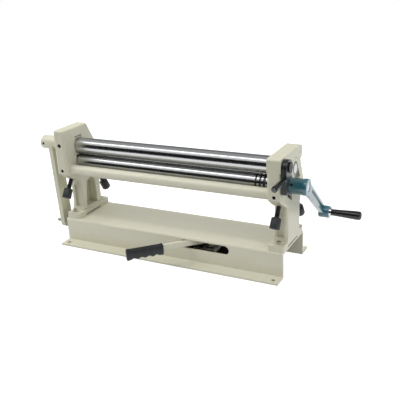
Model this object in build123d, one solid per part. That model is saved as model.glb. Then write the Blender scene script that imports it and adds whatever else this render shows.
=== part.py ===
from build123d import *
import math
import os

os.makedirs("parts", exist_ok=True)

# Manual slip roll on a folded sheet base. X runs along the rolls to the crank,
# Y runs from the feeding side to the rear roll, Z is up from the bench.
# All lengths are in millimetres.

# rolls and the end frames beside them
roll_r = 23.0
roll_half = 308.0
roll_gap = 2.0
frame_thick = 37.0
screw_inset = 19.0
frame_in = roll_half + roll_gap
frame_out = frame_in + frame_thick
frame_mid = frame_in + screw_inset
plate_gap = 1.0

# base channel
base_length = 2 * frame_out
base_half_width = 82.5
base_height = 73.0
base_flange = 40.0
base_sheet = 5.0
base_bend = 6.0
base_inner_bend = 1.0
base_hole_x = frame_mid
base_hole_y = 105.0
base_hole_r = 5.5
slot_x = 120.5
slot_half = 73.5
slot_drop = 32.0
slot_low = base_height - slot_drop
slot_edge = 6.0
slot_high = base_height - slot_edge

# places of the rolls
lower_y = -30.0
lower_z = 242.0
pinch = 4.3
upper_y = lower_y
upper_z = lower_z + 2 * roll_r + pinch
rear_y = 13.7
rear_z = 273.3
upper_journal_r = 12.5
journal_r = 12.0
running = 0.05
groove_inset = 46.0
groove_x = roll_half - groove_inset
groove_count = 3
groove_pitch = 12.0
groove_width = 5.0
groove_step = 1.0
groove_depth = 2.6
roll_chamfer = 1.2

# end frames
front_y = -97.0
lobe_low = 219.0
lobe_back_y = -75.6
lobe_back_z = 203.0
leg_front = -45.0
leg_rear = 49.0
leg_front_top = 184.0
left_top = 350.0
left_peak_y = 17.0
left_slope_y = 46.7
left_slope_z = 296.0
notch_y = 52.0
notch_z = 290.5
elbow_y = 77.0
elbow_z = 232.0
corner_y = 80.0
corner_z = 222.0
knee_y = leg_rear
knee_z = 170.0
foot_front_inset = 3.5
foot_rear_inset = 0.5
foot_front = foot_front_inset - base_half_width
foot_rear = base_half_width - foot_rear_inset
foot_thick = 16.0
foot_top = base_height + foot_thick
foot_relief_front = -41.0
foot_relief_rear = 32.0
foot_relief = 5.0
foot_relief_top = base_height + foot_relief
foot_neck_rise = 9.0
foot_neck = foot_top + foot_neck_rise
foot_blend = 2.5
foot_step = 7.0
foot_round = 9.0
lobe_round = 8.0
lobe_edge = 7.0
top_round = 6.0
peak_round = 14.0
corner_round = 6.0
pocket_front = -16.0
pocket_low_front = -25.0
pocket_rear = 27.0
pocket_low_rear = 29.0
pocket_top = 180.0
pocket_sill = 5.0
pocket_low = foot_top + pocket_sill
pocket_wall = 10.0
hollow_inset_out = 11.0
hollow_inset_in = 6.0
hollow_depth = 7.0
hollow_top = 172.0
hollow_sill = 11.0
hollow_low = foot_top + hollow_sill
foot_bolt_inset = 17.0
foot_bolt_front = foot_front + foot_bolt_inset
foot_bolt_rear = foot_rear - foot_bolt_inset
foot_bolt_r = 4.0
foot_head_r = 6.8
foot_head = 5.5
foot_washer_r = 8.0
foot_washer = 1.6
foot_nut = 6.5
foot_tail = 3.0

# slots and blocks of the lower and rear rolls
lower_slot_half = 17.1
lower_block_half = 16.9
lower_slot_top = 265.5
lower_block_top = 260.0
bevel_reach = 23.0
bevel_slot_reach = 31.0
screw_dir_y = 0.5403
screw_dir_z = 0.8415
rear_dir_y = 0.5
rear_dir_z = 0.8660254
rear_slot_half = 17.2
rear_block_half = 16.9
rear_slot_lead = 3.0
rear_slot_reach = 46.5
rear_block_reach = 20.0
block_gap = 0.4

# adjusting screws
screw_r = 6.0
pad_r = 10.0
pad_low = 27.0
pad_play = 0.3
pad_bore_start = 12.0
front_screw_end = 87.0
front_knob_start = 85.0
front_knob_end = 115.0
rear_screw_start = 12.5
rear_screw_end = 157.0
rear_knob_start = 155.0
rear_knob_end = 185.0
knob_r = 13.0
knob_collar_r = 9.0
knob_collar = 5.0
knob_low_r = 14.0

# swivel bearing of the upper roll in the left frame
swivel_slot_half = 15.5
swivel_half = 15.3
swivel_slot_low = 272.0
swivel_slot_high = 322.0
swivel_low = 274.5
swivel_high = 318.5
swivel_inset = 3.0
swivel_x_in = frame_in + swivel_inset
swivel_outset = 2.0
swivel_x_out = frame_out - swivel_outset
swivel_axis_z = 304.7
dog_r = 4.0
dog_depth = 6.0
swivel_screw_r = 6.0
swivel_front_recess = 2.0
swivel_rear_y = 40.0
hex_r = 3.0
hex_depth = 5.0

# bearing cap, its bushes, hinge and the boss round the rear roll
cap_top = 328.0
cap_belly_z = 298.0
boss_y = 14.0
boss_z = 275.0
boss_r = 27.0
arch_r = 28.0
hinge_y = 48.5
hinge_z = 308.0
hinge_pin_r = 5.0
cheek_r = 20.0
cheek_gap_r = 20.6
tongue_r = 14.0
tongue_gap = 0.5
tongue_side = 0.4
tongue_low = 280.0
tongue_heel = 5.0
tongue_toe = 19.0
bush_r = 16.0
bush_relief_start = 9.6
bush_relief_end = 17.5
bush_relief_high = 9.5
oil_inset = 5.0
oil_x = frame_mid - oil_inset
oil_y = 34.0
oil_r = 2.0
oil_depth = 4.0

# quick latch
latch_x = frame_out + plate_gap
latch_thick = 14.0
latch_front = front_y
latch_wide = 43.0
latch_rear = latch_front + latch_wide
latch_low_wide = 24.0
latch_low_rear = latch_front + latch_low_wide
latch_top = 324.0
latch_step_high = 286.0
latch_step_low = 276.0
latch_low = 238.0
latch_top_round = 19.0
latch_low_round = 4.0
latch_pivot_y = -74.0
latch_pivot_z = 305.0
latch_pivot_r = 6.0
latch_pivot_head_r = 13.0
latch_pivot_head = 4.0
latch_pivot_depth = 18.0
cap_travel = 38.0
latch_travel = 75.0
keeper_inset = 17.0
keeper_y = latch_front + keeper_inset
keeper_z = 256.0
keeper_r = 4.0
keeper_depth = 15.0
keeper_gap = 0.4
handle_z = 276.0
handle_r = 8.0
handle_ferrule_r = 7.0
handle_ferrule = 6.0
handle_stud_r = 4.0
handle_stud = 12.0
handle_end = -163.0
handle_cap_r = 5.0
handle_cap = 1.5

# tie bar
tie_inset = 24.0
tie_y = front_y + tie_inset
tie_z = 229.0
tie_r = 15.0
tie_depth = 30.0
tie_screw_r = 5.0
tie_screw_recess = 2.0

# crank
hub_x = frame_out + plate_gap
hub_r = 21.0
hub_length = 37.0
crank_plate = 12.0
crank_end_y = 125.0
crank_end_z = 119.0
crank_eye_r = 22.0
crank_boss_r = 17.0
crank_boss_back = 4.0
crank_boss_in = hub_x + hub_length - crank_boss_back
crank_boss_long = 28.0
crank_boss_out = crank_boss_in + crank_boss_long
crank_arm_half = 14.5
crank_arm_low_half = 10.5
crank_groove_half = 7.5
crank_groove_low_half = 4.5
crank_groove_depth = 3.6
crank_groove_round = 3.0
crank_groove_start = 34.0
crank_groove_stop = 27.0
journal_short = 1.0
journal_end = hub_x + hub_length + crank_plate - journal_short
crank_screw_inset = 10.0
crank_screw_x = hub_x + crank_screw_inset
crank_screw_turn = 25.0
crank_screw_r = 4.0
crank_screw_recess = 1.5
washer_r = 13.0
washer_thick = 6.0
washer_end = crank_boss_out + washer_thick
grip_length = 80.0
grip_end = washer_end + grip_length
grip_small_r = 9.0
grip_big_r = 12.0
spindle_r = 5.0
spindle_head_r = 8.0
spindle_head = 5.0
spindle_sink = 2.0
spindle_play = 0.2

# lift arm on the upper roll's outer journal
lift_hub_gap = 2.5
lift_hub_in = frame_out + lift_hub_gap
lift_hub_long = 88.5
lift_hub_out = lift_hub_in + lift_hub_long
lift_hub_r = 20.5
lift_cap = 7.0
lift_journal_end = lift_hub_out - lift_cap
lift_arm_half = 7.0
lift_arm_inset = 34.0
lift_arm_top_x = lift_hub_out - lift_arm_inset
lift_arm_lean = 12.0
lift_arm_low_x = lift_arm_top_x - lift_arm_lean
lift_arm_half_wide = 20.0
lift_arm_front = upper_y - lift_arm_half_wide
lift_arm_rear = upper_y + lift_arm_half_wide
lift_end_round = 12.0
lift_screw_inset = 10.0
lift_screw_x = lift_hub_out - lift_screw_inset
lift_screw_r = 4.0

# link rod, yoke and lever
link_y = upper_y
link_drop = 5.0
link_z = slot_low - link_drop
link_r = 5.0
link_hole_r = 5.6
link_hole_rise = 4.0
link_short = 12.0
link_end = lift_hub_out - link_short
lift_arm_tail = 12.0
lift_arm_low = link_z - lift_arm_tail
link_washer_r = 9.0
link_washer = 2.0
link_nut_r = 8.5
link_nut = 8.0
link_seat = 1.0
pivot_x = slot_x
pivot_y = upper_y
lever_half_swing = 45.5
eccentric_offset = 8.55
eccentric_r = 20.0
eccentric_drop = 5.5
eccentric_low = link_z - eccentric_drop
yoke_play = 0.45
yoke_rim = 8.0
yoke_half_thick = 5.0
yoke_low = link_z - yoke_half_thick
yoke_high = link_z + yoke_half_thick
yoke_front_reach = 30.5
yoke_rear_reach = 17.5
yoke_front = pivot_y - yoke_front_reach
yoke_rear = pivot_y + yoke_rear_reach
yoke_socket = 10.0
lever_gap = 1.0
lever_top_gap = 1.5
lever_low = slot_low + lever_gap
lever_high = slot_high - lever_top_gap
lever_half_thick = 4.0
lever_boss_r = 12.0
lever_boss_gap = 1.2
lever_boss_top = slot_high - lever_boss_gap
lever_length = 246.0
lever_grip_length = 102.0
lever_tang = 62.0
lever_grip_half_high = 14.0
lever_grip_half_wide = 11.0
lever_grip_round = 9.0
lever_fingers = 4
lever_finger_r = 13.0
lever_finger_pitch = 21.0
lever_finger_drop = 8.5
pivot_bolt_r = 5.0
pivot_flange_r = 15.0
pivot_flange = 2.0
pivot_washer_r = 11.0
pivot_washer = 2.0
pivot_nut_r = 9.5
pivot_nut = 7.0
pivot_tail = 3.0

hexagon = 6
step_count = 24


def box(x0, x1, y0, y1, z0, z1):
    """Box between two corners."""
    size = Box(x1 - x0, y1 - y0, z1 - z0)
    return Pos((x0 + x1) / 2, (y0 + y1) / 2, (z0 + z1) / 2) * size


def rod(start, end, radius):
    """Cylinder from one point to another."""
    a = Vector(*start)
    b = Vector(*end)
    way = b - a
    return Solid.make_cylinder(radius, way.length, Plane(origin=a, z_dir=way))


def along_x(y, z, x0, x1, radius):
    return rod((x0, y, z), (x1, y, z), radius)


def along_y(x, z, y0, y1, radius):
    return rod((x, y0, z), (x, y1, z), radius)


def along_z(x, y, z0, z1, radius):
    return rod((x, y, z0), (x, y, z1), radius)


def profile_x(points, x0, x1, radii=0):
    """Outline in Y and Z, with rounded corners, pushed along X."""
    with BuildSketch(Plane.YZ.offset(min(x0, x1))) as sketch:
        with BuildLine():
            if radii:
                FilletPolyline(*points, radius=radii, close=True)
            else:
                Polyline(*points, close=True)
        make_face()
    return extrude(sketch.sketch, abs(x1 - x0))


def profile_z(points, z0, z1):
    """Outline in X and Y pushed along Z."""
    face = make_face(Polyline(*points, close=True).edges())
    return Pos(0, 0, z0) * extrude(face, z1 - z0, dir=(0, 0, 1))


def hexagon_rod(start, end, radius):
    a = Vector(*start)
    b = Vector(*end)
    way = b - a
    plane = Plane(origin=a, z_dir=way)
    return extrude(plane * RegularPolygon(radius, hexagon), way.length)


def both(shape):
    """The same piece on the left and on the right."""
    return Compound(children=[shape, shape.mirror(Plane.YZ)])


def save(shape, name):
    solids = shape.solids()
    out = solids[0] if len(solids) == 1 else Compound(children=list(solids))
    out.label = name
    export_step(out, "parts/" + name + ".step")


def front_at(reach, side=0):
    """Point on the front screw's axis, and aside from it, below the lower roll."""
    y = lower_y - screw_dir_y * reach + screw_dir_z * side
    z = lower_z - screw_dir_z * reach - screw_dir_y * side
    return (y, z)


def rear_at(reach, side=0):
    """Point on the rear screw's axis, and aside from it, below the rear roll."""
    y = rear_y + rear_dir_y * reach + rear_dir_z * side
    z = rear_z - rear_dir_z * reach + rear_dir_y * side
    return (y, z)


def bevel_z(reach, y):
    """Height of the bevelled plane at a given Y."""
    base = front_at(reach)
    return base[1] - (y - base[0]) * screw_dir_y / screw_dir_z


# base channel
half = base_length / 2
rim = base_half_width + base_flange
inner = base_half_width - base_sheet
under = base_height - base_sheet
outline = [
    (-rim, 0),
    (-inner, 0),
    (-inner, under),
    (inner, under),
    (inner, 0),
    (rim, 0),
    (rim, base_sheet),
    (base_half_width, base_sheet),
    (base_half_width, base_height),
    (-base_half_width, base_height),
    (-base_half_width, base_sheet),
    (-rim, base_sheet),
]
corner = [0, 0, base_inner_bend, base_inner_bend, 0, 0]
corner = corner + [0, base_inner_bend, base_bend, base_bend, base_inner_bend, 0]
base = profile_x(outline, -half, half, corner)
for sx in (-1, 1):
    for sy in (-1, 1):
        base = base - along_z(sx * base_hole_x, sy * base_hole_y, -base_sheet, 2 * base_sheet, base_hole_r)
    for bolt_y in (foot_bolt_front, foot_bolt_rear):
        x = sx * frame_mid
        base = base - along_z(x, bolt_y, under - base_sheet, base_height + base_sheet, foot_bolt_r)
slot_mid = (slot_low + slot_high) / 2
slot_end = (slot_high - slot_low) / 2
wall_front = -base_half_width - base_sheet
wall_back = base_sheet - inner
cut = box(slot_x - slot_half + slot_end, slot_x + slot_half - slot_end,
          wall_front, wall_back, slot_low, slot_high)
for side in (-1, 1):
    end_x = slot_x + side * (slot_half - slot_end)
    cut = cut + along_y(end_x, slot_mid, wall_front, wall_back, slot_end)
base = base - cut
save(base, "base_channel")

# end frames
foot_points = [
    (knee_y, knee_z),
    (leg_rear, foot_neck),
    (leg_rear + foot_blend, foot_top),
    (leg_front - foot_blend, foot_top),
    (leg_front, foot_neck),
    (leg_front, leg_front_top),
    (lobe_back_y, lobe_back_z),
    (front_y, lobe_low),
]
foot_radii = [corner_round, 0, 0, 0, 0, corner_round, 0, lobe_round]


def soften_lobe(frame):
    """Rounds the two long lower edges of the front lobe."""
    chosen = []
    for edge in frame.edges():
        spot = edge.center()
        across = abs((edge @ 1).X - (edge @ 0).X)
        if across < running and spot.Y < lobe_back_y and lobe_back_z < spot.Z < lobe_low + lobe_round:
            chosen.append(edge)
    return fillet(chosen, lobe_edge)


def foot_shelf(side):
    """Foot that stands out towards the rolls, with its corners rounded in plan."""
    points = [
        (foot_front, base_height),
        (foot_front, foot_top),
        (foot_rear, foot_top),
        (foot_rear, base_height),
        (foot_relief_rear, base_height),
        (foot_relief_rear, foot_relief_top),
        (foot_relief_front, foot_relief_top),
        (foot_relief_front, base_height),
    ]
    shelf = profile_x(points, side * (frame_in - foot_step), side * frame_out)
    upright = [edge for edge in shelf.edges().filter_by(Axis.Z)
               if abs(edge.center().Y - foot_front) < running or abs(edge.center().Y - foot_rear) < running]
    return fillet(upright, foot_round)


left_points = [
    (front_y, left_top),
    (left_peak_y, left_top),
    (left_slope_y, left_slope_z),
    (elbow_y, elbow_z),
    (corner_y, corner_z),
]
left_radii = [top_round, peak_round, 0, 0, corner_round / 2]
left = profile_x(left_points + foot_points, -frame_out, -frame_in, left_radii + foot_radii)
left = soften_lobe(left) + foot_shelf(-1)

right_points = [
    (front_y, upper_z),
    (boss_y - boss_r / 2, upper_z),
    (boss_y + boss_r / 2, upper_z),
    (notch_y, notch_z),
    (elbow_y, elbow_z),
    (corner_y, corner_z),
]
right_radii = [0, 0, 0, 0, 0, corner_round / 2]
right = profile_x(right_points + foot_points, frame_in, frame_out, right_radii + foot_radii)
right = soften_lobe(right) + foot_shelf(1)
right = right + along_x(boss_y, boss_z, frame_in, frame_out, boss_r)
cheek_gap = along_x(hinge_y, hinge_z, frame_in, frame_out, cheek_gap_r)
right = right - cheek_gap
third = (frame_out - frame_in) / 3
tongue_in = frame_in + third + tongue_side
tongue_out = frame_out - third - tongue_side
tongue_outline = [
    (hinge_y - tongue_r, hinge_z),
    (hinge_y + tongue_r, hinge_z),
    (hinge_y + tongue_heel, tongue_low),
    (hinge_y - tongue_toe, tongue_low),
]
tongue = profile_x(tongue_outline, tongue_in, tongue_out)
tongue = tongue + along_x(hinge_y, hinge_z, tongue_in, tongue_out, tongue_r)
right = right + tongue


def lower_slot(x0, x1):
    points = [
        (lower_y - lower_slot_half, lower_slot_top),
        (lower_y + lower_slot_half, lower_slot_top),
        (lower_y + lower_slot_half, bevel_z(bevel_slot_reach, lower_y + lower_slot_half)),
        (lower_y - lower_slot_half, bevel_z(bevel_slot_reach, lower_y - lower_slot_half)),
    ]
    return profile_x(points, x0, x1)


def rear_slot(x0, x1):
    points = [
        rear_at(-rear_slot_lead, -rear_slot_half),
        rear_at(-rear_slot_lead, rear_slot_half),
        rear_at(rear_slot_reach, rear_slot_half),
        rear_at(rear_slot_reach, -rear_slot_half),
    ]
    top = rear_at(-rear_slot_lead)
    return profile_x(points, x0, x1) + along_x(top[0], top[1], x0, x1, rear_slot_half)


def screw_hole(x, start, end, radius):
    return rod((x, start[0], start[1]), (x, end[0], end[1]), radius)


over = base_sheet
frames = {"left_end_frame": (left, -1), "right_end_frame": (right, 1)}
finished = {}
for name, entry in frames.items():
    frame, side = entry
    x_in = side * frame_in
    x_out = side * frame_out
    lo = min(x_in, x_out) - over
    hi = max(x_in, x_out) + over
    frame = frame - lower_slot(lo, hi)
    frame = frame - rear_slot(lo, hi)
    mid = side * frame_mid
    frame = frame - screw_hole(mid, front_at(bevel_reach), front_at(front_screw_end), screw_r + running)
    frame = frame - screw_hole(mid, rear_at(rear_block_reach), rear_at(rear_screw_end), screw_r + running)
    pad_bore_end = bevel_slot_reach + pad_low - bevel_reach
    frame = frame - screw_hole(mid, front_at(pad_bore_start), front_at(pad_bore_end), pad_r + pad_play)
    frame = frame - along_x(tie_y, tie_z, x_in - side * over, x_in + side * tie_depth, tie_r)
    frame = frame - along_y(mid, tie_z, front_y - over, tie_y, tie_screw_r)
    pocket_x = x_out - side * pocket_wall
    half_pocket = (pocket_rear - pocket_front) / 2
    pocket_mid = (pocket_rear + pocket_front) / 2
    pocket = profile_x([
        (pocket_low_front, pocket_low),
        (pocket_front, pocket_top - half_pocket),
        (pocket_rear, pocket_top - half_pocket),
        (pocket_low_rear, pocket_low),
    ], x_in - side * over, pocket_x)
    frame = frame - pocket
    frame = frame - along_x(pocket_mid, pocket_top - half_pocket, x_in - side * over, pocket_x, half_pocket)
    hollow_out = x_out - side * hollow_inset_out
    hollow_in = x_in + side * hollow_inset_in
    half_hollow = abs(hollow_out - hollow_in) / 2
    hollow_mid = (hollow_out + hollow_in) / 2
    hollow_back = leg_front + hollow_depth
    frame = frame - box(min(hollow_in, hollow_out), max(hollow_in, hollow_out), leg_front - over,
                        hollow_back, hollow_low, hollow_top - half_hollow)
    arch = along_y(hollow_mid, hollow_top - half_hollow, leg_front - over, hollow_back, half_hollow)
    frame = frame - arch
    for bolt_y in (foot_bolt_front, foot_bolt_rear):
        frame = frame - along_z(mid, bolt_y, base_height - over, foot_top + over, foot_bolt_r)
    finished[name] = frame

left = finished["left_end_frame"]
left = left - box(-frame_out - over, -frame_in + over, upper_y - swivel_slot_half,
                  upper_y + swivel_slot_half, swivel_slot_low, swivel_slot_high)
left = left - along_y(-frame_mid, swivel_axis_z, front_y - over, upper_y, swivel_screw_r)
left = left - along_y(-frame_mid, swivel_axis_z, upper_y, elbow_y, swivel_screw_r)
save(left, "left_end_frame")

right = finished["right_end_frame"]
right = right - along_x(upper_y, upper_z, frame_in - over, frame_out + over, bush_r)
right = right - along_x(hinge_y, hinge_z, frame_in, frame_out, hinge_pin_r)
right = right - along_x(keeper_y, keeper_z, frame_out - keeper_depth, frame_out + over, keeper_r)
save(right, "right_end_frame")

# bearing cap
cap_points = [
    (front_y, upper_z),
    (front_y, cap_top),
    (hinge_y, cap_top),
    (hinge_y, hinge_z - cheek_r),
    (boss_y + boss_r / 2, cap_belly_z),
]
cap = profile_x(cap_points, frame_in, frame_out, [0, top_round, 0, 0, 0])
cap = cap + along_x(hinge_y, hinge_z, frame_in, frame_out, cheek_r)
cap = cap - along_x(boss_y, boss_z, frame_in - over, frame_out + over, arch_r)
gap_outline = [
    (hinge_y - tongue_r - tongue_gap, hinge_z),
    (hinge_y + tongue_r + tongue_gap, hinge_z),
    (hinge_y + cheek_r, tongue_low),
    (hinge_y - tongue_toe - cheek_r, tongue_low),
    (hinge_y - tongue_r - tongue_gap - over, upper_z),
]
gap = profile_x(gap_outline, frame_in + third, frame_out - third)
gap = gap + along_x(hinge_y, hinge_z, frame_in + third, frame_out - third, tongue_r + tongue_gap)
gap = gap + box(frame_in + third, frame_out - third, hinge_y, hinge_y + cheek_r + over,
                hinge_z - cheek_r - over, hinge_z)
cap = cap - gap
cap = cap - along_x(hinge_y, hinge_z, frame_in - over, frame_out + over, hinge_pin_r + running)
cap = cap - along_x(upper_y, upper_z, frame_in - over, frame_out + over, bush_r)
relief = box(frame_in - over, frame_out + over, upper_y + bush_relief_start,
             upper_y + bush_relief_end, upper_z - over, upper_z + bush_relief_high)
cap = cap - relief
cap = cap - along_x(latch_pivot_y, latch_pivot_z, frame_out - latch_pivot_depth,
                    frame_out + over, latch_pivot_r)
cap = cap - along_z(oil_x, oil_y, cap_top - oil_depth, cap_top + over, oil_r)
save(cap, "bearing_cap")

pin = along_x(hinge_y, hinge_z, frame_in, frame_out, hinge_pin_r)
save(pin, "cap_hinge_pin")

ring = along_x(upper_y, upper_z, frame_in, frame_out, bush_r)
ring = ring - along_x(upper_y, upper_z, frame_in - over, frame_out + over, upper_journal_r + running)
lower_half = ring & box(frame_in, frame_out, upper_y - bush_r, upper_y + bush_r, upper_z - bush_r, upper_z)
upper_half = ring & box(frame_in, frame_out, upper_y - bush_r, upper_y + bush_r, upper_z, upper_z + bush_r)
upper_half = upper_half - relief
save(lower_half, "upper_bush_lower_half")
save(upper_half, "upper_bush_cap_half")

# rolls
lower = along_x(lower_y, lower_z, -roll_half, roll_half, roll_r)
lower = chamfer(lower.edges(), roll_chamfer)
for index in range(groove_count):
    width = groove_width + index * groove_step
    x = groove_x + index * groove_pitch
    wall = along_x(lower_y, lower_z, x - width / 2, x + width / 2, roll_r + over)
    wall = wall - along_x(lower_y, lower_z, x - width, x + width, roll_r - groove_depth)
    lower = lower - wall
lower = lower + along_x(lower_y, lower_z, -frame_out + block_gap, -roll_half, journal_r)
lower = lower + along_x(lower_y, lower_z, roll_half, journal_end, journal_r)
save(lower, "lower_roll")

upper = chamfer(along_x(upper_y, upper_z, -roll_half, roll_half, roll_r).edges(), roll_chamfer)
upper = upper + along_x(upper_y, upper_z, -lift_journal_end, -roll_half, upper_journal_r)
upper = upper + along_x(upper_y, upper_z, roll_half, frame_out - block_gap, upper_journal_r)
save(upper, "upper_roll")

rear = chamfer(along_x(rear_y, rear_z, -roll_half, roll_half, roll_r).edges(), roll_chamfer)
rear = rear + along_x(rear_y, rear_z, -frame_out, -roll_half, journal_r)
rear = rear + along_x(rear_y, rear_z, roll_half, frame_out, journal_r)
save(rear, "rear_roll")

# bearing blocks
block_in = frame_in + block_gap
block_out = frame_out - block_gap
for side, word in ((-1, "left"), (1, "right")):
    lo = min(side * block_in, side * block_out)
    hi = max(side * block_in, side * block_out)
    points = [
        (lower_y - lower_block_half, lower_block_top),
        (lower_y + lower_block_half, lower_block_top),
        (lower_y + lower_block_half, bevel_z(bevel_reach, lower_y + lower_block_half)),
        (lower_y - lower_block_half, bevel_z(bevel_reach, lower_y - lower_block_half)),
    ]
    block = profile_x(points, lo, hi)
    block = block - along_x(lower_y, lower_z, lo - over, hi + over, journal_r + running)
    save(block, word + "_lower_bearing_block")
    points = [
        rear_at(0, -rear_block_half),
        rear_at(0, rear_block_half),
        rear_at(rear_block_reach, rear_block_half),
        rear_at(rear_block_reach, -rear_block_half),
    ]
    block = profile_x(points, lo, hi) + along_x(rear_y, rear_z, lo, hi, rear_block_half)
    block = block - along_x(rear_y, rear_z, lo - over, hi + over, journal_r + running)
    mid = side * frame_mid
    block = block - screw_hole(mid, rear_at(rear_screw_start), rear_at(rear_block_reach + over),
                               screw_r + running)
    save(block, word + "_rear_bearing_block")

block = box(-swivel_x_out, -swivel_x_in, upper_y - swivel_half, upper_y + swivel_half,
            swivel_low, swivel_high)
block = block - along_x(upper_y, upper_z, -swivel_x_out - over, -swivel_x_in + over,
                        upper_journal_r + running)
for side in (-1, 1):
    face = upper_y + side * swivel_half
    block = block - along_y(-frame_mid, swivel_axis_z, face - side * dog_depth - side * running,
                            face + side * over, dog_r + running)
save(block, "swivel_block")

screws = []
for side, start in ((-1, front_y + swivel_front_recess), (1, swivel_rear_y)):
    face = upper_y + side * swivel_slot_half
    tip = upper_y + side * (swivel_half - dog_depth)
    screw = along_y(-frame_mid, swivel_axis_z, start, face, swivel_screw_r)
    screw = screw + along_y(-frame_mid, swivel_axis_z, face, tip, dog_r)
    screw = screw - hexagon_rod((-frame_mid, start + side * over, swivel_axis_z),
                                (-frame_mid, start - side * hex_depth, swivel_axis_z), hex_r)
    screws.append(screw)
save(Compound(children=screws), "swivel_screws")

# adjusting screws
for side, word in ((-1, "left"), (1, "right")):
    mid = side * frame_mid
    pad = screw_hole(mid, front_at(bevel_reach), front_at(pad_low), pad_r)
    save(pad, word + "_thrust_pad")
    screw = screw_hole(mid, front_at(pad_low), front_at(front_screw_end), screw_r)
    save(screw, word + "_front_screw")
    screw = screw_hole(mid, rear_at(rear_screw_start), rear_at(rear_screw_end), screw_r)
    save(screw, word + "_rear_screw")
    for place, at, start, end, tail in (
        ("front", front_at, front_knob_start, front_knob_end, front_screw_end),
        ("rear", rear_at, rear_knob_start, rear_knob_end, rear_screw_end),
    ):
        low = at(end)
        high = at(start + knob_collar)
        plane = Plane(origin=(mid, high[0], high[1]), z_dir=(0, low[0] - high[0], low[1] - high[1]))
        body = Solid.make_cone(knob_r, knob_low_r, end - start - knob_collar, plane)
        body = chamfer(body.edges().filter_by(GeomType.CIRCLE), roll_chamfer)
        body = body + screw_hole(mid, at(start), high, knob_collar_r)
        body = body - screw_hole(mid, at(start - over), at(tail), screw_r)
        save(body, word + "_" + place + "_knob")

# tie bar
tie_half = frame_in + tie_depth
save(along_x(tie_y, tie_z, -tie_half, tie_half, tie_r), "tie_bar")
screw = along_y(frame_mid, tie_z, front_y + tie_screw_recess, tie_y - tie_r, tie_screw_r)
screw = screw - hexagon_rod((frame_mid, front_y, tie_z),
                            (frame_mid, front_y + tie_screw_recess + hex_depth, tie_z), hex_r)
save(both(screw), "tie_bar_set_screws")

# foot bolts
bolts = []
washers = []
nuts = []
head_low = foot_top + foot_washer
for sx in (-1, 1):
    for bolt_y in (foot_bolt_front, foot_bolt_rear):
        x = sx * frame_mid
        bolt = along_z(x, bolt_y, under - foot_nut - foot_tail, head_low, foot_bolt_r)
        head = hexagon_rod((x, bolt_y, head_low), (x, bolt_y, head_low + foot_head), foot_head_r)
        bolts.append(bolt + head)
        washer = along_z(x, bolt_y, foot_top, head_low, foot_washer_r)
        washers.append(washer - along_z(x, bolt_y, foot_top - over, head_low + over, foot_bolt_r))
        nut = hexagon_rod((x, bolt_y, under - foot_nut), (x, bolt_y, under), foot_head_r)
        nuts.append(nut - along_z(x, bolt_y, under - foot_nut - over, under + over, foot_bolt_r))
save(Compound(children=bolts), "foot_bolts")
save(Compound(children=washers), "foot_washers")
save(Compound(children=nuts), "foot_nuts")


# quick latch
def turned(point, centre, degrees):
    """Turn a point in Y and Z about a centre, the front side going up."""
    angle = math.radians(degrees)
    a = point[0] - centre[0]
    b = point[1] - centre[1]
    y = centre[0] + a * math.cos(angle) + b * math.sin(angle)
    z = centre[1] - a * math.sin(angle) + b * math.cos(angle)
    return (y, z)


plate_points = [
    (latch_front, latch_low),
    (latch_front, latch_top),
    (latch_rear, latch_top),
    (latch_rear, latch_step_high),
    (latch_low_rear, latch_step_low),
    (latch_low_rear, latch_low),
]
plate_end = latch_x + latch_thick
plate = profile_x(plate_points, latch_x, plate_end,
                  [latch_low_round, latch_top_round, latch_top_round,
                   latch_low_round, latch_low_round, latch_low_round])
plate = plate - along_x(latch_pivot_y, latch_pivot_z, latch_x - over, plate_end + over,
                        latch_pivot_r + running)
mouth = keeper_r + keeper_gap
last = (keeper_y, keeper_z)
path = along_x(keeper_y, keeper_z, latch_x - over, plate_end + over, mouth)
for index in range(1, step_count + 1):
    part = index / step_count / 2
    spot = turned((keeper_y, keeper_z), (hinge_y, hinge_z), -cap_travel * part)
    spot = turned(spot, (latch_pivot_y, latch_pivot_z), -latch_travel * part)
    if last[0] > latch_rear + 2 * mouth:
        break
    reach = math.hypot(spot[0] - last[0], spot[1] - last[1])
    along = ((spot[0] - last[0]) / reach, (spot[1] - last[1]) / reach)
    strip = [
        (last[0] - along[1] * mouth, last[1] + along[0] * mouth),
        (spot[0] - along[1] * mouth, spot[1] + along[0] * mouth),
        (spot[0] + along[1] * mouth, spot[1] - along[0] * mouth),
        (last[0] + along[1] * mouth, last[1] - along[0] * mouth),
    ]
    path = path + profile_x(strip, latch_x - over, plate_end + over)
    path = path + along_x(spot[0], spot[1], latch_x - over, plate_end + over, mouth)
    last = spot
plate = plate - path
latch_mid = latch_x + latch_thick / 2
plate = plate - along_y(latch_mid, handle_z, latch_front - over, latch_front + handle_stud, handle_stud_r)
save(max(plate.solids(), key=lambda solid: solid.volume), "latch_plate")

handle = along_y(latch_mid, handle_z, latch_front + handle_stud, latch_front, handle_stud_r)
grip_start = latch_front - handle_ferrule
handle = handle + along_y(latch_mid, handle_z, grip_start, handle_end, handle_r)
handle = handle + along_y(latch_mid, handle_z, handle_end, handle_end - handle_cap, handle_cap_r)
handle = handle + along_y(latch_mid, handle_z, latch_front, grip_start, handle_stud_r)
save(handle, "latch_handle")
ferrule = along_y(latch_mid, handle_z, latch_front, grip_start, handle_ferrule_r)
ferrule = ferrule - along_y(latch_mid, handle_z, latch_front + over, grip_start - over, handle_stud_r)
save(ferrule, "latch_ferrule")

pivot = along_x(latch_pivot_y, latch_pivot_z, frame_out - latch_pivot_depth,
                plate_end + running, latch_pivot_r)
pivot = pivot + along_x(latch_pivot_y, latch_pivot_z, plate_end + running,
                        plate_end + running + latch_pivot_head, latch_pivot_head_r)
save(pivot, "latch_pivot_screw")
save(along_x(keeper_y, keeper_z, frame_out - keeper_depth, plate_end, keeper_r), "latch_keeper_pin")

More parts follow.
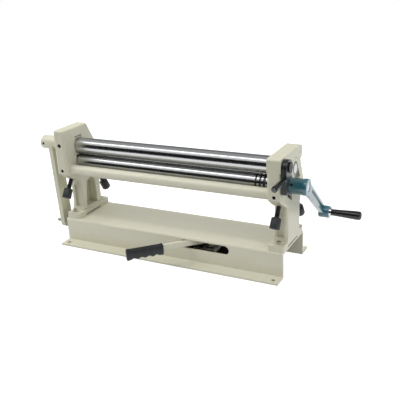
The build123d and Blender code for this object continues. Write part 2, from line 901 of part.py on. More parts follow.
# crank
hub_end = hub_x + hub_length
plate_out = hub_end + crank_plate
arm_dy = crank_end_y - lower_y
arm_dz = crank_end_z - lower_z
arm_length = math.hypot(arm_dy, arm_dz)
way = (arm_dy / arm_length, arm_dz / arm_length)


def on_arm(reach, side):
    return (lower_y + way[0] * reach - way[1] * side, lower_z + way[1] * reach + way[0] * side)


crank = along_x(lower_y, lower_z, hub_x, hub_end, hub_r)
crank = crank + along_x(lower_y, lower_z, hub_end, plate_out, crank_eye_r)
arm = profile_x([on_arm(0, -crank_arm_half), on_arm(arm_length, -crank_arm_low_half),
                 on_arm(arm_length, crank_arm_low_half), on_arm(0, crank_arm_half)], hub_end, plate_out)
for x0, x1 in ((hub_end - over, hub_end + crank_groove_depth),
               (plate_out - crank_groove_depth, plate_out + over)):
    stop = arm_length - crank_groove_stop
    corners = [
        on_arm(crank_groove_start, -crank_groove_half),
        on_arm(stop, -crank_groove_low_half),
        on_arm(stop, crank_groove_low_half),
        on_arm(crank_groove_start, crank_groove_half),
    ]
    groove = profile_x(corners, x0, x1, crank_groove_round)
    arm = arm - groove
crank = crank + arm
crank = crank + along_x(crank_end_y, crank_end_z, crank_boss_in, crank_boss_out, crank_boss_r)
crank = crank - along_x(lower_y, lower_z, hub_x - over, plate_out + over, journal_r)
crank = crank - along_x(crank_end_y, crank_end_z, crank_boss_in - over, crank_boss_out + over, spindle_r)


def on_hub(reach):
    """Point on the set screw's axis at a distance from the crank's axis."""
    turn = math.radians(crank_screw_turn)
    return (crank_screw_x, lower_y - reach * math.cos(turn), lower_z + reach * math.sin(turn))


crank = crank - rod(on_hub(hub_r + over), on_hub(0), crank_screw_r)
save(crank, "crank_arm")
screw = rod(on_hub(hub_r - crank_screw_recess), on_hub(0), crank_screw_r)
save(screw - along_x(lower_y, lower_z, hub_x, hub_end, journal_r), "crank_set_screw")

head_x = grip_end - spindle_sink
spindle = along_x(crank_end_y, crank_end_z, crank_boss_in, head_x - spindle_head, spindle_r)
spindle = spindle + along_x(crank_end_y, crank_end_z, head_x - spindle_head, head_x, spindle_head_r)
save(spindle, "handle_spindle")
washer = along_x(crank_end_y, crank_end_z, crank_boss_out, washer_end, washer_r)
washer = washer - along_x(crank_end_y, crank_end_z, crank_boss_out - over, washer_end + over, spindle_r)
save(washer, "handle_washer")
grip_plane = Plane(origin=(washer_end + running, crank_end_y, crank_end_z), z_dir=(1, 0, 0))
grip = Solid.make_cone(grip_small_r, grip_big_r, grip_end - washer_end, grip_plane)
grip = chamfer(grip.edges().filter_by(GeomType.CIRCLE), roll_chamfer)
grip = grip - along_x(crank_end_y, crank_end_z, washer_end - over, grip_end + over, spindle_r + running)
grip = grip - along_x(crank_end_y, crank_end_z, head_x - spindle_head - spindle_play,
                      grip_end + over, spindle_head_r + spindle_play)
save(grip, "crank_grip")

# lift arm
hub = along_x(upper_y, upper_z, -lift_hub_out, -lift_hub_in, lift_hub_r)
with BuildSketch(Plane.XZ.offset(-lift_arm_rear)) as sketch:
    with BuildLine():
        Polyline((-lift_arm_top_x - lift_arm_half, upper_z),
                 (-lift_arm_top_x + lift_arm_half, upper_z),
                 (-lift_arm_low_x + lift_arm_half, lift_arm_low),
                 (-lift_arm_low_x - lift_arm_half, lift_arm_low), close=True)
    make_face()
arm = extrude(sketch.sketch, lift_arm_rear - lift_arm_front)
rounded = profile_x([(lift_arm_front, lift_arm_low), (lift_arm_rear, lift_arm_low),
                     (lift_arm_rear, upper_z), (lift_arm_front, upper_z)],
                    -lift_hub_out, -lift_hub_in, [lift_end_round, lift_end_round, 0, 0])
arm = arm & rounded
lift = hub + arm
lift = lift - along_x(upper_y, upper_z, -lift_journal_end - running, -lift_hub_in + over,
                      upper_journal_r + running)
for rise in (0, link_hole_rise):
    lift = lift - along_x(link_y, link_z + rise, -lift_hub_out, -frame_out, link_hole_r)
lift = lift - box(-lift_hub_out, -frame_out, link_y - link_hole_r, link_y + link_hole_r,
                  link_z, link_z + link_hole_rise)
lift = lift - along_y(-lift_screw_x, upper_z, upper_y - lift_hub_r - over,
                      upper_y - lift_hub_r + hex_depth, lift_screw_r)
save(lift, "lift_arm")
screw = along_y(-lift_screw_x, upper_z, upper_y - lift_hub_r + hex_depth,
                upper_y - lift_hub_r + crank_screw_recess, lift_screw_r)
save(screw, "lift_arm_screw")

# link rod, yoke and its nut
swing = math.radians(lever_half_swing)
disc_x = pivot_x - eccentric_offset * math.sin(swing)
disc_y = pivot_y - eccentric_offset * math.cos(swing)
window_half = eccentric_r + yoke_play
yoke_in = disc_x - window_half
yoke = box(yoke_in - yoke_rim - yoke_socket, disc_x + window_half + yoke_rim,
           yoke_front - yoke_rim, yoke_rear + yoke_rim, yoke_low, yoke_high)
yoke = yoke - box(yoke_in, disc_x + window_half, yoke_front, yoke_rear, yoke_low - over, yoke_high + over)
rod_in = yoke_in - yoke_rim
yoke = yoke - box(rod_in - yoke_socket - over, rod_in, link_y - link_r, link_y + link_r,
                  yoke_low - over, yoke_high + over)
save(yoke, "link_yoke")
link = along_x(link_y, link_z, -link_end, rod_in, link_r)
save(link, "link_rod")
face_x = -lift_arm_low_x - lift_arm_half - link_seat
face_x = face_x - (link_z + link_hole_rise - lift_arm_low) * (lift_arm_top_x - lift_arm_low_x) / upper_z
washer = along_x(link_y, link_z, face_x - link_washer, face_x, link_washer_r)
washer = washer - along_x(link_y, link_z, face_x - link_washer - over, face_x + over, link_r)
save(washer, "link_washer")
nut_x = face_x - link_washer
nut = hexagon_rod((nut_x - link_nut, link_y, link_z), (nut_x, link_y, link_z), link_nut_r)
nut = nut - along_x(link_y, link_z, nut_x - link_nut - over, nut_x + over, link_r)
save(nut, "link_nut")

# lever
aim = (-math.sin(swing), -math.cos(swing))
cross = (-aim[1], aim[0])


def on_lever(reach, side):
    return (pivot_x + aim[0] * reach + cross[0] * side, pivot_y + aim[1] * reach + cross[1] * side)


def lever_slab(start, end, half_wide, low, high):
    points = [on_lever(start, -half_wide), on_lever(end, -half_wide),
              on_lever(end, half_wide), on_lever(start, half_wide)]
    with BuildSketch(Plane.XY.offset(low)) as flat:
        with BuildLine():
            Polyline(*points, close=True)
        make_face()
    return extrude(flat.sketch, high - low)


grip_start = lever_length - lever_grip_length
bar_end = grip_start + lever_tang
bar = lever_slab(0, bar_end, lever_half_thick, lever_low, lever_high)
bar = bar + along_z(pivot_x, pivot_y, lever_low, lever_boss_top, lever_boss_r)
bar = bar - along_z(pivot_x, pivot_y, lever_low - over, lever_boss_top + over, pivot_bolt_r + running)
save(bar, "lever_bar")

lever_mid = (lever_low + lever_high) / 2
grip = lever_slab(grip_start, lever_length, lever_grip_half_wide,
                  lever_mid - lever_grip_half_high, lever_mid + lever_grip_half_high)
long_edges = grip.edges().filter_by(Axis((0, 0, 0), (aim[0], aim[1], 0)))
grip = fillet(long_edges, lever_grip_round)
for index in range(lever_fingers):
    place = index - (lever_fingers - 1) / 2
    reach = grip_start + lever_grip_length / 2 + place * lever_finger_pitch
    low = lever_mid - lever_grip_half_high - lever_finger_drop
    a = on_lever(reach, -2 * lever_grip_half_wide)
    b = on_lever(reach, 2 * lever_grip_half_wide)
    grip = grip - rod((a[0], a[1], low), (b[0], b[1], low), lever_finger_r)
grip = grip - lever_slab(grip_start - over, bar_end, lever_half_thick, lever_low, lever_high)
save(grip, "lever_grip")

disc = along_z(disc_x, disc_y, eccentric_low, lever_low, eccentric_r)
disc = disc - along_z(pivot_x, pivot_y, eccentric_low - over, lever_low + over, pivot_bolt_r + running)
save(disc, "lever_eccentric")

nut_top = eccentric_low - pivot_washer - running
stud = along_z(pivot_x, pivot_y, nut_top - pivot_nut - pivot_tail, under, pivot_bolt_r)
save(stud + along_z(pivot_x, pivot_y, under - pivot_flange, under, pivot_flange_r), "lever_pivot_stud")
washer = along_z(pivot_x, pivot_y, nut_top, nut_top + pivot_washer, pivot_washer_r)
washer = washer - along_z(pivot_x, pivot_y, nut_top - over, nut_top + pivot_washer + over, pivot_bolt_r)
save(washer, "lever_pivot_washer")
nut = hexagon_rod((pivot_x, pivot_y, nut_top - pivot_nut), (pivot_x, pivot_y, nut_top), pivot_nut_r)
nut = nut - along_z(pivot_x, pivot_y, nut_top - pivot_nut - over, nut_top + over, pivot_bolt_r)
save(nut, "lever_pivot_nut")
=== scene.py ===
import math

import bmesh
import bpy
from mathutils import Matrix, Vector


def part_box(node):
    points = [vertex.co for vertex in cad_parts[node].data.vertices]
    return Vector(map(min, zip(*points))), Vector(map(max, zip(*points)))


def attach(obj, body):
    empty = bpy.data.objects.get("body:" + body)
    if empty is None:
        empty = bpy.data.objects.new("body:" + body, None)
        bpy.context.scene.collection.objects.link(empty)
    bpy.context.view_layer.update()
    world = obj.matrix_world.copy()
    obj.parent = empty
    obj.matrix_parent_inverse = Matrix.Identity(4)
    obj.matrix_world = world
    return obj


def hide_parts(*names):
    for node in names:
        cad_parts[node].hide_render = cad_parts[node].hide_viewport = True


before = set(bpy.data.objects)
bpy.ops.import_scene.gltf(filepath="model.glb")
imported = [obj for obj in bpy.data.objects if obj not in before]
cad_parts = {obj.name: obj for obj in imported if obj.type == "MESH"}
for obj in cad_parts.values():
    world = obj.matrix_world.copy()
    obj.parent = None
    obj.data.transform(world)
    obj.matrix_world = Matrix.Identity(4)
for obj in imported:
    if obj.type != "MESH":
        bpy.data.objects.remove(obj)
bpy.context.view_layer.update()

mm = 0.001


# Sheet base
# The base is folded from steel sheet, drilled for the bench and slotted for
# the lever, and sprayed with cream enamel. Its folds and cut edges are soft.
def linear(code):
    """Linear colour of a six-digit sRGB code."""
    parts = [int(code[i:i + 2], 16) / 255 for i in (1, 3, 5)]
    return (*[p / 12.92 if p <= 0.04045 else ((p + 0.055) / 1.055) ** 2.4 for p in parts], 1)


def add(tree, kind, **settings):
    """A shader node; lower-case settings are its own, the others its sockets' values or links."""
    node = tree.nodes.new("ShaderNode" + kind)
    for name, value in settings.items():
        if name.islower():
            setattr(node, name, value)
            continue
        socket = node.inputs[name.replace("_", " ")]
        if isinstance(value, bpy.types.NodeSocket):
            tree.links.new(value, socket)
        else:
            socket.default_value = value
    return node


cloud_width = 12  # the colour drifts over patches this many grains wide
rough_spread = 0.15


def finish(name, light, dark, rough, metal=0.0, grain=3.0, relief=0.02, coat=0.0, stretch=(1, 1, 1)):
    """A paint, metal or plastic: grain is the width of its texture and relief its depth, in mm.

    Real grains are mostly finer than the render can show. They are drawn as
    coarse as they need to be to break up the gloss.
    """
    material = bpy.data.materials.new(name)
    material.use_nodes = True
    tree = material.node_tree
    shader = tree.nodes["Principled BSDF"]
    place = add(tree, "TexCoord").outputs["Object"]
    place = add(tree, "Mapping", Vector=place, Scale=stretch).outputs["Vector"]
    clouds = add(tree, "TexNoise", Vector=place, Scale=1 / (grain * cloud_width * mm), Detail=3.0)
    pores = add(tree, "TexNoise", Vector=place, Scale=1 / (grain * mm), Detail=4.0)
    colour = add(tree, "Mix", data_type="RGBA")
    tree.links.new(clouds.outputs["Fac"], colour.inputs["Factor"])
    colour.inputs["A"].default_value = linear(dark)
    colour.inputs["B"].default_value = linear(light)
    tree.links.new(colour.outputs["Result"], shader.inputs["Base Color"])
    span = add(tree, "MapRange", Value=pores.outputs["Fac"], To_Min=rough * (1 - rough_spread),
               To_Max=rough * (1 + rough_spread))
    tree.links.new(span.outputs["Result"], shader.inputs["Roughness"])
    shader.inputs["Metallic"].default_value = metal
    shader.inputs["Coat Weight"].default_value = coat
    shader.inputs["Coat Roughness"].default_value = 0.15
    bump = add(tree, "Bump", Strength=0.6, Distance=relief * mm, Height=pores.outputs["Fac"])
    tree.links.new(bump.outputs["Normal"], shader.inputs["Normal"])
    return material


def dress(material, *names):
    """Gives CAD nodes a material."""
    for name in names:
        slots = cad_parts[name].data.materials
        slots.clear()
        slots.append(material)


def soften(width, *names):
    """Rounds the edges of CAD nodes by a width in mm, after their loose triangles are joined."""
    for name in names:
        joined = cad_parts[name].modifiers.new("joined corners", "WELD")
        joined.merge_threshold = 0.005 * mm
        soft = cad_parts[name].modifiers.new("softened edges", "BEVEL")
        soft.width = width * mm
        soft.segments = 2
        soft.limit_method = "ANGLE"
        soft.angle_limit = math.radians(40)
        soft.use_clamp_overlap = True


# Stove enamel sprayed on sheet: a pale, even cream with a soft gloss and a
# faint orange peel.
cream_enamel = finish("cream enamel on sheet", "#DCD9C5", "#D6D3BE", 0.34, grain=2.2, relief=0.05, coat=0.25)
dress(cream_enamel, "base_channel")
soften(0.5, "base_channel")

# End frames and bearing cap
# Two iron castings stand on the base and carry the rolls. The right one is
# split above the upper roll, and its upper part is a cap that swings up.
# The same enamel on a sand casting: a little duller and greyer, with the
# sand's grain under the paint.
cast_enamel = finish("cream enamel on cast iron", "#D6D4BE", "#CFCCB5", 0.38, grain=1.6, relief=0.12,
                     coat=0.2)
dress(cast_enamel, "left_end_frame", "right_end_frame", "bearing_cap")
soften(1.6, "left_end_frame", "right_end_frame")
soften(1.4, "bearing_cap")

# Foot bolts and cap pins
# Hexagon bolts with nuts and painted washers hold the frames' feet to the
# base, and plain pins hold the cap at the back and its latch in front.
# Bright zinc plating: a pale, slightly warm grey with a satin shine.
zinc = finish("zinc plated steel", "#B9B8B2", "#A7A6A0", 0.33, metal=1.0, grain=1.0, relief=0.01)
dress(zinc, "foot_bolts", "foot_nuts", "cap_hinge_pin", "latch_keeper_pin")
dress(cast_enamel, "foot_washers")

# Tie bar and set screws
# A painted round bar joins the frames in front, clamped by socket set screws.
# Like screws hold the swivel block, the lift arm and the crank.
# Black oxide on steel: near black, half metallic, with little shine.
black_oxide = finish("black oxide steel", "#2A2B2D", "#202123", 0.42, metal=0.6, grain=0.8, relief=0.01)
dress(cream_enamel, "tie_bar")
dress(black_oxide, "tie_bar_set_screws", "swivel_screws", "lift_arm_screw", "crank_set_screw")

# Bearings
# Iron blocks slide in the frames' slots, the upper roll's free end lies in a
# split bush, and pads take the front screws' thrust.
# Milled cast iron: mid grey, with fine cutter lines across the faces.
milled_iron = finish("milled cast iron", "#7A7C7E", "#6C6E70", 0.36, metal=0.9, grain=0.6, relief=0.012,
                     stretch=(1, 1, 5))
dress(milled_iron, "left_lower_bearing_block", "right_lower_bearing_block", "left_rear_bearing_block",
      "right_rear_bearing_block")
dress(cast_enamel, "swivel_block")
# Bearing bronze: a warm brownish yellow, turned smooth.
bronze = finish("turned bronze", "#B08A50", "#9A7640", 0.32, metal=1.0, grain=0.6, relief=0.01)
dress(bronze, "upper_bush_lower_half", "upper_bush_cap_half", "left_thrust_pad", "right_thrust_pad")


# Rolls
# Solid steel bars, turned and ground, with bevelled ends and journals. The
# lower one has three wire grooves at the crank end.
def as_mesh(shape, name, material, sharp=0):
    """Ends a bmesh as a smooth mesh of one material, with creases at edges over an angle."""
    mesh = bpy.data.meshes.new(name)
    shape.to_mesh(mesh)
    shape.free()
    mesh.shade_smooth()
    if sharp:
        mesh.set_sharp_from_angle(angle=math.radians(sharp))
    mesh.materials.append(material)
    return mesh


def piece(name, mesh, body, *stands_for):
    """A finished mesh as an object that moves with a body and replaces CAD nodes."""
    thing = bpy.data.objects.new(name, mesh)
    bpy.context.collection.objects.link(thing)
    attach(thing, body)
    if stands_for:
        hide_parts(*stands_for)


def turned(name, outline, start, end, material, steps=48, sharp=50):
    """Spins an outline of (share of the way, radius in mm) about the line from start to end."""
    start, end = Vector(start), Vector(end)
    way = end - start
    shape = bmesh.new()
    corners = [shape.verts.new((radius * mm, 0, share * way.length)) for share, radius in outline]
    for a, b in zip(corners, corners[1:]):
        shape.edges.new((a, b))
    bmesh.ops.spin(shape, geom=shape.verts[:] + shape.edges[:], axis=(0, 0, 1), angle=math.tau, steps=steps,
                   use_merge=True)
    bmesh.ops.remove_doubles(shape, verts=shape.verts[:], dist=0.01 * mm)
    bmesh.ops.recalc_face_normals(shape, faces=shape.faces[:])
    lay = way.to_track_quat("Z", "Y").to_matrix().to_4x4()
    shape.transform(Matrix.Translation(start) @ lay)
    return as_mesh(shape, name, material, sharp)


# Ground steel: a bright, nearly neutral metal with a soft mirror, and fine
# rings round it from the grinding wheel, which draw its highlights out.
ground_steel = finish("ground steel", "#C6C7C8", "#BABCBE", 0.24, metal=1.0, grain=1.2, relief=0.001,
                      stretch=(3, 1, 1))
tree = ground_steel.node_tree
shader = tree.nodes["Principled BSDF"]
round_x = add(tree, "Tangent", direction_type="RADIAL", axis="X")
tree.links.new(round_x.outputs["Tangent"], shader.inputs["Tangent"])
shader.inputs["Anisotropic"].default_value = 0.75
shader.inputs["Anisotropic Rotation"].default_value = 0.25
# Dull dark steel on the wire grooves' faces: painted shade in the grooves'
# hollows. The free journal's end is sprayed over with the cap.
groove_shade_steel = finish("dark steel as painted groove shade", "#6A6B6C", "#5C5D5E", 0.45, metal=1.0, grain=0.5, relief=0.01)
groove_shade_slot, sprayed_slot = 1, 2
roll_r, roll_half, roll_bevel = 23.0, 308.0, 1.2
groove_depth = 2.6
grooves = ((262, 5), (274, 6), (286, 7))  # place along the roll and width
rolls = (("upper_roll", "upper_roll", 12.5), ("lower_roll", "lower_roll_and_crank", 12.0),
         ("rear_roll", "rear_roll", 12.0))
for node, body, journal_r in rolls:
    low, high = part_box(node)
    left, right = low[0] / mm, high[0] / mm
    y, z = (low[1] + high[1]) / 2, (low[2] + high[2]) / 2
    stations = [(left, 0), (left, journal_r), (-roll_half, journal_r), (-roll_half, roll_r - roll_bevel),
                (roll_bevel - roll_half, roll_r)]
    for x, wide in grooves if node == "lower_roll" else ():
        stations += [(x - wide / 2, roll_r), (x - wide / 2, roll_r - groove_depth),
                     (x + wide / 2, roll_r - groove_depth), (x + wide / 2, roll_r)]
    stations += [(roll_half - roll_bevel, roll_r), (roll_half, roll_r - roll_bevel), (roll_half, journal_r),
                 (right, journal_r), (right, 0)]
    outline = [((x - left) / (right - left), radius) for x, radius in stations]
    mesh = turned("ground_" + node, outline, (low[0], y, z), (high[0], y, z), ground_steel, steps=160,
                  sharp=30)
    mesh.materials.append(groove_shade_steel)
    mesh.materials.append(cast_enamel)
    for face in mesh.polygons:
        out_by = math.hypot(face.center.y - y, face.center.z - z)
        between_ends = abs(face.center.x) < (roll_half - roll_bevel - 0.8) * mm
        # faces inside the grooves take the dark steel that paints their shade
        if between_ends and out_by < (roll_r - 0.5) * mm:
            face.material_index = groove_shade_slot
        if node == "upper_roll" and face.center.x > high[0] - 0.1 * mm:
            face.material_index = sprayed_slot
    piece("ground_" + node, mesh, body, node)

# Adjusting screws
# Steel screws push the lower and rear bearings up. Their free lengths show
# their threads, which are wound as ridges round the CAD's plain shanks.
dress(black_oxide, "left_front_screw", "right_front_screw", "left_rear_screw", "right_rear_screw")
front_aim = Vector((0, 0.5403, 0.8415))
rear_aim = Vector((0, -0.5, 0.8660254))
screw_r, pitch, ridge, root = 6.0, 1.75, 0.4, 0.3
thread_section = ((-0.48, -root), (-0.12, ridge), (0.12, ridge), (0.48, -root))  # in pitches and mm
steps_a_turn = 20
threads = (("front", front_aim, 18, 26), ("rear", rear_aim, 19, 88))  # from and to, off the knob's middle
for side in ("left", "right"):
    for place, aim, near, far in threads:
        low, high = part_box(f"{side}_{place}_knob")
        knob = (Vector(low) + Vector(high)) / 2
        steps = round((far - near) / pitch * steps_a_turn)
        shape = bmesh.new()
        section = [shape.verts.new(((screw_r + out_by) * mm, 0, lift * pitch * mm))
                   for lift, out_by in thread_section]
        shape.faces.new(section)
        bmesh.ops.spin(shape, geom=shape.verts[:] + shape.edges[:] + shape.faces[:], axis=(0, 0, 1),
                       dvec=(0, 0, pitch / steps_a_turn * mm), angle=math.tau * steps / steps_a_turn,
                       steps=steps)
        bmesh.ops.recalc_face_normals(shape, faces=shape.faces[:])
        lay = aim.to_track_quat("Z", "Y").to_matrix().to_4x4()
        shape.transform(Matrix.Translation(knob + aim * near * mm) @ lay)
        mesh = as_mesh(shape, "thread", black_oxide)
        piece(f"{side}_{place}_thread", mesh, f"{side}_{place}_adjuster")

# Adjusting knobs
# Moulded knobs on the screws, a little wider at the bottom, with straight
# flutes to hold them by and a collar towards the screw.
# Phenolic with a matt, slightly grainy face: charcoal rather than black.
matt_phenolic = finish("matt phenolic", "#292C2D", "#232626", 0.5, grain=0.7, relief=0.03)
knob_length, flutes, flute_depth = 30 * mm, 32, 0.45 * mm
flute_start, flute_end, flute_inner = 0.05, 0.99, 11.5 * mm
knob_outline = [(0.0, 0.0), (0.0, 8.2), (0.02, 9.0), (0.05, 9.2), (0.06, 11.8), (0.09, 12.9), (0.93, 13.8),
                (0.98, 13.4), (1.0, 12.2), (1.0, 7.0), (0.97, 6.0), (0.97, 0.0)]
for side in ("left", "right"):
    for place, aim in (("front", front_aim), ("rear", rear_aim)):
        name = f"{side}_{place}_knob"
        low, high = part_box(name)
        top = (Vector(low) + Vector(high)) / 2 + aim * knob_length / 2
        mesh = turned("fluted_" + name, knob_outline, top, top - aim * knob_length, matt_phenolic, steps=96)
        across = aim.cross(Vector((1, 0, 0)))
        for vert in mesh.vertices:
            along = (top - vert.co).dot(aim) / knob_length
            out_way = vert.co - top + aim * along * knob_length
            if out_way.length > flute_inner and flute_start < along < flute_end:
                turn = math.atan2(out_way.dot(across), out_way.x)
                vert.co -= out_way.normalized() * flute_depth * (0.5 + 0.5 * math.cos(turn * flutes))
        piece("fluted_" + name, mesh, f"{side}_{place}_adjuster", name)

# Cap latch
# A black plate turns on a screw in the cap and hooks under the keeper pin.
# Its handle is a smooth bar with a sunk end button, on a plated ferrule.
# Black enamel on a steel plate: a deep black with a soft gloss.
black_enamel = finish("black enamel on plate", "#1A1E20", "#14181A", 0.36, grain=1.5, relief=0.04, coat=0.3)
dress(black_enamel, "latch_plate")
soften(1.0, "latch_plate")
dress(black_oxide, "latch_pivot_screw")
# Chrome plating: a clear bright mirror, also on the crank grip's washer.
chrome = finish("chrome plated steel", "#DCDDE0", "#D4D6D9", 0.08, metal=1.0, grain=1.0, relief=0.002)
dress(chrome, "latch_ferrule")
# Polished phenolic: black and glossy, as turned handles are sold.
gloss_phenolic = finish("polished phenolic", "#17181A", "#121315", 0.18, grain=2.0, relief=0.01, coat=0.2)
low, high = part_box("latch_handle")
x, z = (low[0] + high[0]) / 2, (low[2] + high[2]) / 2
root_y, end_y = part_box("latch_ferrule")[0][1], low[1]
button_sunk = 1.5 * mm
outline = [(0.0, 0.0), (0.0, 5.4), (0.02, 6.8), (0.10, 7.4), (0.45, 7.9), (0.80, 8.0), (0.93, 8.0),
           (0.985, 7.6), (1.0, 6.6), (1.0, 0.0)]
mesh = turned("smooth_latch_handle", outline, (x, root_y, z), (x, end_y + button_sunk, z), gloss_phenolic)
piece("smooth_latch_handle", mesh, "latch", "latch_handle")
outline = [(0.0, 0.0), (0.0, 4.8), (0.6, 4.7), (0.95, 4.2), (1.0, 3.6), (1.0, 2.0), (0.5, 1.8), (0.5, 0.0)]
mesh = turned("latch_handle_button", outline, (x, end_y + button_sunk + 0.2 * mm, z), (x, end_y, z),
              milled_iron, steps=32)
piece("latch_handle_button", mesh, "latch")

# Crank
# A cast arm with a long hub is set-screwed to the lower roll, and its grip
# turns freely on a spindle, between a bright washer and the spindle's head.
# Teal enamel on a casting: a strong blue green under a clear gloss.
teal_enamel = finish("teal enamel on cast iron", "#34717F", "#2F6978", 0.32, grain=1.8, relief=0.06, coat=1.0)
dress(teal_enamel, "crank_arm")
soften(1.2, "crank_arm")
dress(chrome, "handle_washer")
dress(zinc, "handle_spindle")
low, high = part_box("crank_grip")
y, z = (low[1] + high[1]) / 2, (low[2] + high[2]) / 2
outline = [(0.0, 5.3), (0.0, 8.2), (0.012, 9.0), (0.08, 9.3), (0.30, 9.9), (0.55, 11.0), (0.80, 11.9),
           (0.92, 12.0), (0.97, 11.4), (0.993, 10.2), (1.0, 9.0), (1.0, 8.3), (0.91, 8.3), (0.91, 5.3)]
mesh = turned("smooth_crank_grip", outline, (low[0], y, z), (high[0], y, z), gloss_phenolic, steps=64)
piece("smooth_crank_grip", mesh, "crank_grip", "crank_grip")

# Lift arm and link
# A cast arm on the upper roll's outer end, pulled down by a plated rod with
# a yoke, a washer and a nut.
dress(cast_enamel, "lift_arm")
soften(1.6, "lift_arm")
dress(zinc, "link_rod", "link_yoke", "link_washer", "link_nut")

# Release lever
# A painted flat bar turns on a plated stud under the base, works the
# eccentric, and comes out through the slot to its grip.
dress(zinc, "lever_pivot_stud", "lever_pivot_washer", "lever_pivot_nut", "lever_eccentric")
# Moulded vinyl: black and matt, with a fine grain.
vinyl = finish("moulded vinyl", "#1A1F21", "#14191B", 0.55, grain=0.6, relief=0.05)
# The grip is straight on top, with four finger waves below, a collar at the
# bar and a flared end. Its section is a rounded square.
low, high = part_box("lever_grip")
grip = (Vector(low) + Vector(high)) / 2
low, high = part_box("lever_pivot_stud")
stud = (Vector(low) + Vector(high)) / 2
aim = Vector((grip.x - stud.x, grip.y - stud.y, 0)).normalized()
side_way = Vector((-aim.y, aim.x, 0))
grip_length, rings, ring_points, fingers = 102 * mm, 60, 28, 4
grip_up, grip_down, grip_wide = 14.6, 17.2, 10.4
collar_swell, flare_swell, finger_depth, squareness = 0.8, 0.8, 3.6, 0.75
shape = bmesh.new()
bmesh.ops.create_cone(shape, cap_ends=True, segments=ring_points, radius1=1, radius2=1, depth=1,
                      matrix=Matrix.Translation((0, 0, 0.5)))
lengthwise = [edge for edge in shape.edges if abs(edge.verts[0].co.z - edge.verts[1].co.z) > 0.5]
bmesh.ops.subdivide_edges(shape, edges=lengthwise, cuts=rings - 1, use_grid_fill=True)
for vert in shape.verts:
    share, turn = vert.co.z, math.atan2(vert.co.y, vert.co.x)
    wave = 0.5 - 0.5 * math.cos(math.tau * fingers * min(max((share - 0.09) / 0.82, 0), 1))
    collar = math.exp(-((share - 0.02) / 0.03) ** 2)
    flare = math.exp(-((share - 1.0) / 0.06) ** 2)
    close = min(1, 0.86 + 8 * min(share, 1 - share))
    upper = (grip_up + collar_swell * collar + flare_swell * flare) * close
    lower = (grip_down + 1.0 * flare - finger_depth * wave * (1 - collar) * (1 - flare)) * close
    wide = (grip_wide + collar_swell * collar + flare_swell * flare - 0.8 * wave) * close
    across = math.copysign(abs(math.cos(turn)) ** squareness, math.cos(turn)) * wide
    rise = math.copysign(abs(math.sin(turn)) ** squareness, math.sin(turn))
    rise *= upper if rise > 0 else lower
    vert.co = grip + aim * (share - 0.5) * grip_length + side_way * across * mm + Vector((0, 0, rise * mm))
bmesh.ops.recalc_face_normals(shape, faces=shape.faces[:])
mesh = as_mesh(shape, "moulded_lever_grip", vinyl)
piece("moulded_lever_grip", mesh, "lever", "lever_grip")
# The bar is slimmer than the boss that it grows from, with broken edges. It
# ends inside the grip.
low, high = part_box("lever_bar")
bar_start, bar_end, bar_thick, bar_edge = 9 * mm, 206 * mm, 8 * mm, 0.6 * mm
bar_low, bar_high = low[2] + 7 * mm, high[2] - 0.3 * mm
middle = Vector((stud.x, stud.y, (bar_low + bar_high) / 2)) + aim * (bar_start + bar_end) / 2
lay = Matrix.Translation(middle) @ Matrix((aim, side_way, (0, 0, 1))).transposed().to_4x4()
size = Matrix.Diagonal((bar_end - bar_start, bar_thick, bar_high - bar_low, 1))
shape = bmesh.new()
bmesh.ops.create_cube(shape, size=1, matrix=lay @ size)
bmesh.ops.bevel(shape, geom=shape.edges[:], offset=bar_edge, offset_type="OFFSET", affect="EDGES",
                segments=2, profile=0.5, material=-1)
outline = [(0.0, 5.1), (0.0, 11.4), (0.025, 12.0), (0.975, 12.0), (1.0, 11.4), (1.0, 5.1), (0.0, 5.1)]
boss = turned("boss", outline, (stud.x, stud.y, low[2]), (stud.x, stud.y, high[2]), cream_enamel)
shape.from_mesh(boss)
bpy.data.meshes.remove(boss)
mesh = as_mesh(shape, "slim_lever_bar", cream_enamel, sharp=35)
piece("slim_lever_bar", mesh, "lever", "lever_bar")

# Floor
# A plane on the bench level, white to the camera apart from the object's
# shadow, and mid grey to other rays, so that it throws little light up.
bpy.ops.mesh.primitive_plane_add(size=12, location=(0, 0, -0.1 * mm))
floor = bpy.context.object
floor.name = "floor"
paper = bpy.data.materials.new("pale floor")
paper.use_nodes = True
tree = paper.node_tree
tree.nodes.clear()
ray = add(tree, "LightPath")
seen = add(tree, "Math", operation="MAXIMUM", Value=ray.outputs["Is Camera Ray"])
tree.links.new(ray.outputs["Is Glossy Ray"], seen.inputs[1])
matt = add(tree, "BsdfDiffuse", Color=linear("#C4C4C4"))
lit = add(tree, "BsdfDiffuse", Color=linear("#A0A0A0"))
glow = add(tree, "Emission", Color=(1, 1, 1, 1), Strength=0.91)
both = add(tree, "AddShader")
tree.links.new(lit.outputs["BSDF"], both.inputs[0])
tree.links.new(glow.outputs["Emission"], both.inputs[1])
blend = add(tree, "MixShader", Fac=seen.outputs["Value"])
tree.links.new(matt.outputs["BSDF"], blend.inputs[1])
tree.links.new(both.outputs["Shader"], blend.inputs[2])
add(tree, "OutputMaterial", Surface=blend.outputs["Shader"])
floor.data.materials.append(paper)

# Painted shade under the base
# Dark patches painted on the bench as the shade under the folded base,
# seen through the lever's slot and through the flanges' holes.
painted_bench_shade = bpy.data.materials.new("painted shade on bench")
painted_bench_shade.use_nodes = True
shader = painted_bench_shade.node_tree.nodes["Principled BSDF"]
# a dark grey painted as the shade on the bench
shader.inputs["Base Color"].default_value = linear("#292A29")
shader.inputs["Roughness"].default_value = 0.9
hole_x, hole_y, hole_patch = 328.5 * mm, 105 * mm, 20 * mm
patches = [((-0.05, 0), (0.5, 0.15))]
patches += [((x, y), (hole_patch, hole_patch)) for x in (-hole_x, hole_x) for y in (-hole_y, hole_y)]
for place, size in patches:
    bpy.ops.mesh.primitive_plane_add(size=1, location=(*place, -0.05 * mm))
    shade = bpy.context.object
    shade.name = "shade"
    shade.scale = (*size, 1)
    shade.data.materials.append(painted_bench_shade)

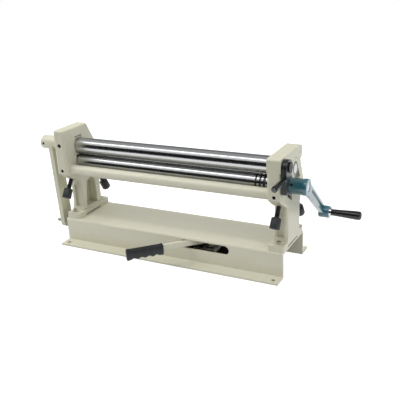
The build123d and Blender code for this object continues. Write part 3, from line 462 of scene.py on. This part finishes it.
# World
# White for camera, glossy and transmission rays, and a moderate pale grey as
# the light that fills the shadows.
world = bpy.data.worlds.new("studio")
bpy.context.scene.world = world
world.use_nodes = True
tree = world.node_tree
tree.nodes.clear()
ray = add(tree, "LightPath")
seen = ray.outputs["Is Camera Ray"]
for kind in ("Is Transmission Ray", "Is Glossy Ray"):
    either = add(tree, "Math", operation="MAXIMUM", Value=seen)
    tree.links.new(ray.outputs[kind], either.inputs[1])
    seen = either.outputs["Value"]
white = add(tree, "Background", Color=(1, 1, 1, 1), Strength=1.0)
fill = add(tree, "Background", Color=linear("#EEF0F2"), Strength=0.45)
blend = add(tree, "MixShader", Fac=seen)
tree.links.new(fill.outputs["Background"], blend.inputs[1])
tree.links.new(white.outputs["Background"], blend.inputs[2])
add(tree, "OutputWorld", Surface=blend.outputs["Shader"])


# Lamps
# A narrow strip for the highlight on the rolls, soft lights overhead, from the
# left and from behind, and one from the crank's side. Only the strip is mirrored.
def lamp(name, place, target, size, watts, mirrored=False):
    data = bpy.data.lights.new(name, "AREA")
    data.shape = "RECTANGLE"
    data.size, data.size_y = size
    data.energy = watts
    hung = bpy.data.objects.new(name, data)
    bpy.context.collection.objects.link(hung)
    hung.rotation_euler = (Vector(target) - Vector(place)).to_track_quat("-Z", "Y").to_euler()
    hung.location = place
    hung.visible_glossy = mirrored


lamp("strip", (-0.5, -0.7, 1.9), (-0.5, 0, 0.15), (3.2, 0.3), 9, mirrored=True)
lamp("top", (-0.3, 0.3, 1.9), (0, 0, 0.1), (1.8, 1.0), 7)
lamp("left", (-1.6, -0.6, 1.6), (-0.2, 0, 0.1), (1.0, 1.0), 18)
lamp("behind", (-0.4, 1.6, 1.4), (0, 0, 0.1), (1.4, 1.0), 17)
lamp("right", (2.0, -0.5, 0.9), (0.2, 0, 0.2), (1.0, 1.0), 11)

# Cards
# Seen only in reflections: a black one on the feeding side that gives the
# polished rolls their dark band, and grey ones behind and above for their tops.
for name, place, size, tilt, colour in (("front card", (-0.8, -0.9, 0.45), (7, 0.9), 90, "#0A0A0A"),
                                        ("rear card", (-0.8, 1.5, 1.3), (7, 2.6), 90, "#888888"),
                                        ("top card", (-0.8, 0.5, 2.6), (7, 2.0), 0, "#B8B8B8")):
    bpy.ops.mesh.primitive_plane_add(size=1, location=place, rotation=(math.radians(tilt), 0, 0))
    card = bpy.context.object
    card.name = name
    card.scale = (*size, 1)
    plain = bpy.data.materials.new(name)
    plain.use_nodes = True
    shader = plain.node_tree.nodes["Principled BSDF"]
    shader.inputs["Base Color"].default_value = linear("#000000")
    shader.inputs["Roughness"].default_value = 1.0
    shader.inputs["Emission Color"].default_value = linear(colour)
    shader.inputs["Emission Strength"].default_value = 1.0
    card.data.materials.append(plain)
    card.visible_camera = False
    card.visible_diffuse = False
    card.visible_shadow = False
    card.visible_transmission = False

# Camera
# Placed by the perspective of the base, the frames and the rolls.
camera_place = Vector((855.4, -1476.7, 786.9)) * mm
camera_yaw = math.radians(27.98)
camera_pitch = math.radians(90 - 20.68)
camera_roll = math.radians(-2.9)
focal_share = 633.9 / 400
sensor_width = 36
data = bpy.data.cameras.new("camera")
data.sensor_width = sensor_width
data.lens = sensor_width * focal_share
camera = bpy.data.objects.new("camera", data)
bpy.context.collection.objects.link(camera)
turn = Matrix.Rotation(camera_yaw, 4, "Z") @ Matrix.Rotation(camera_pitch, 4, "X")
camera.matrix_world = Matrix.Translation(camera_place) @ turn @ Matrix.Rotation(camera_roll, 4, "Z")
bpy.context.scene.camera = camera

bpy.context.scene.view_settings.view_transform = "Standard"
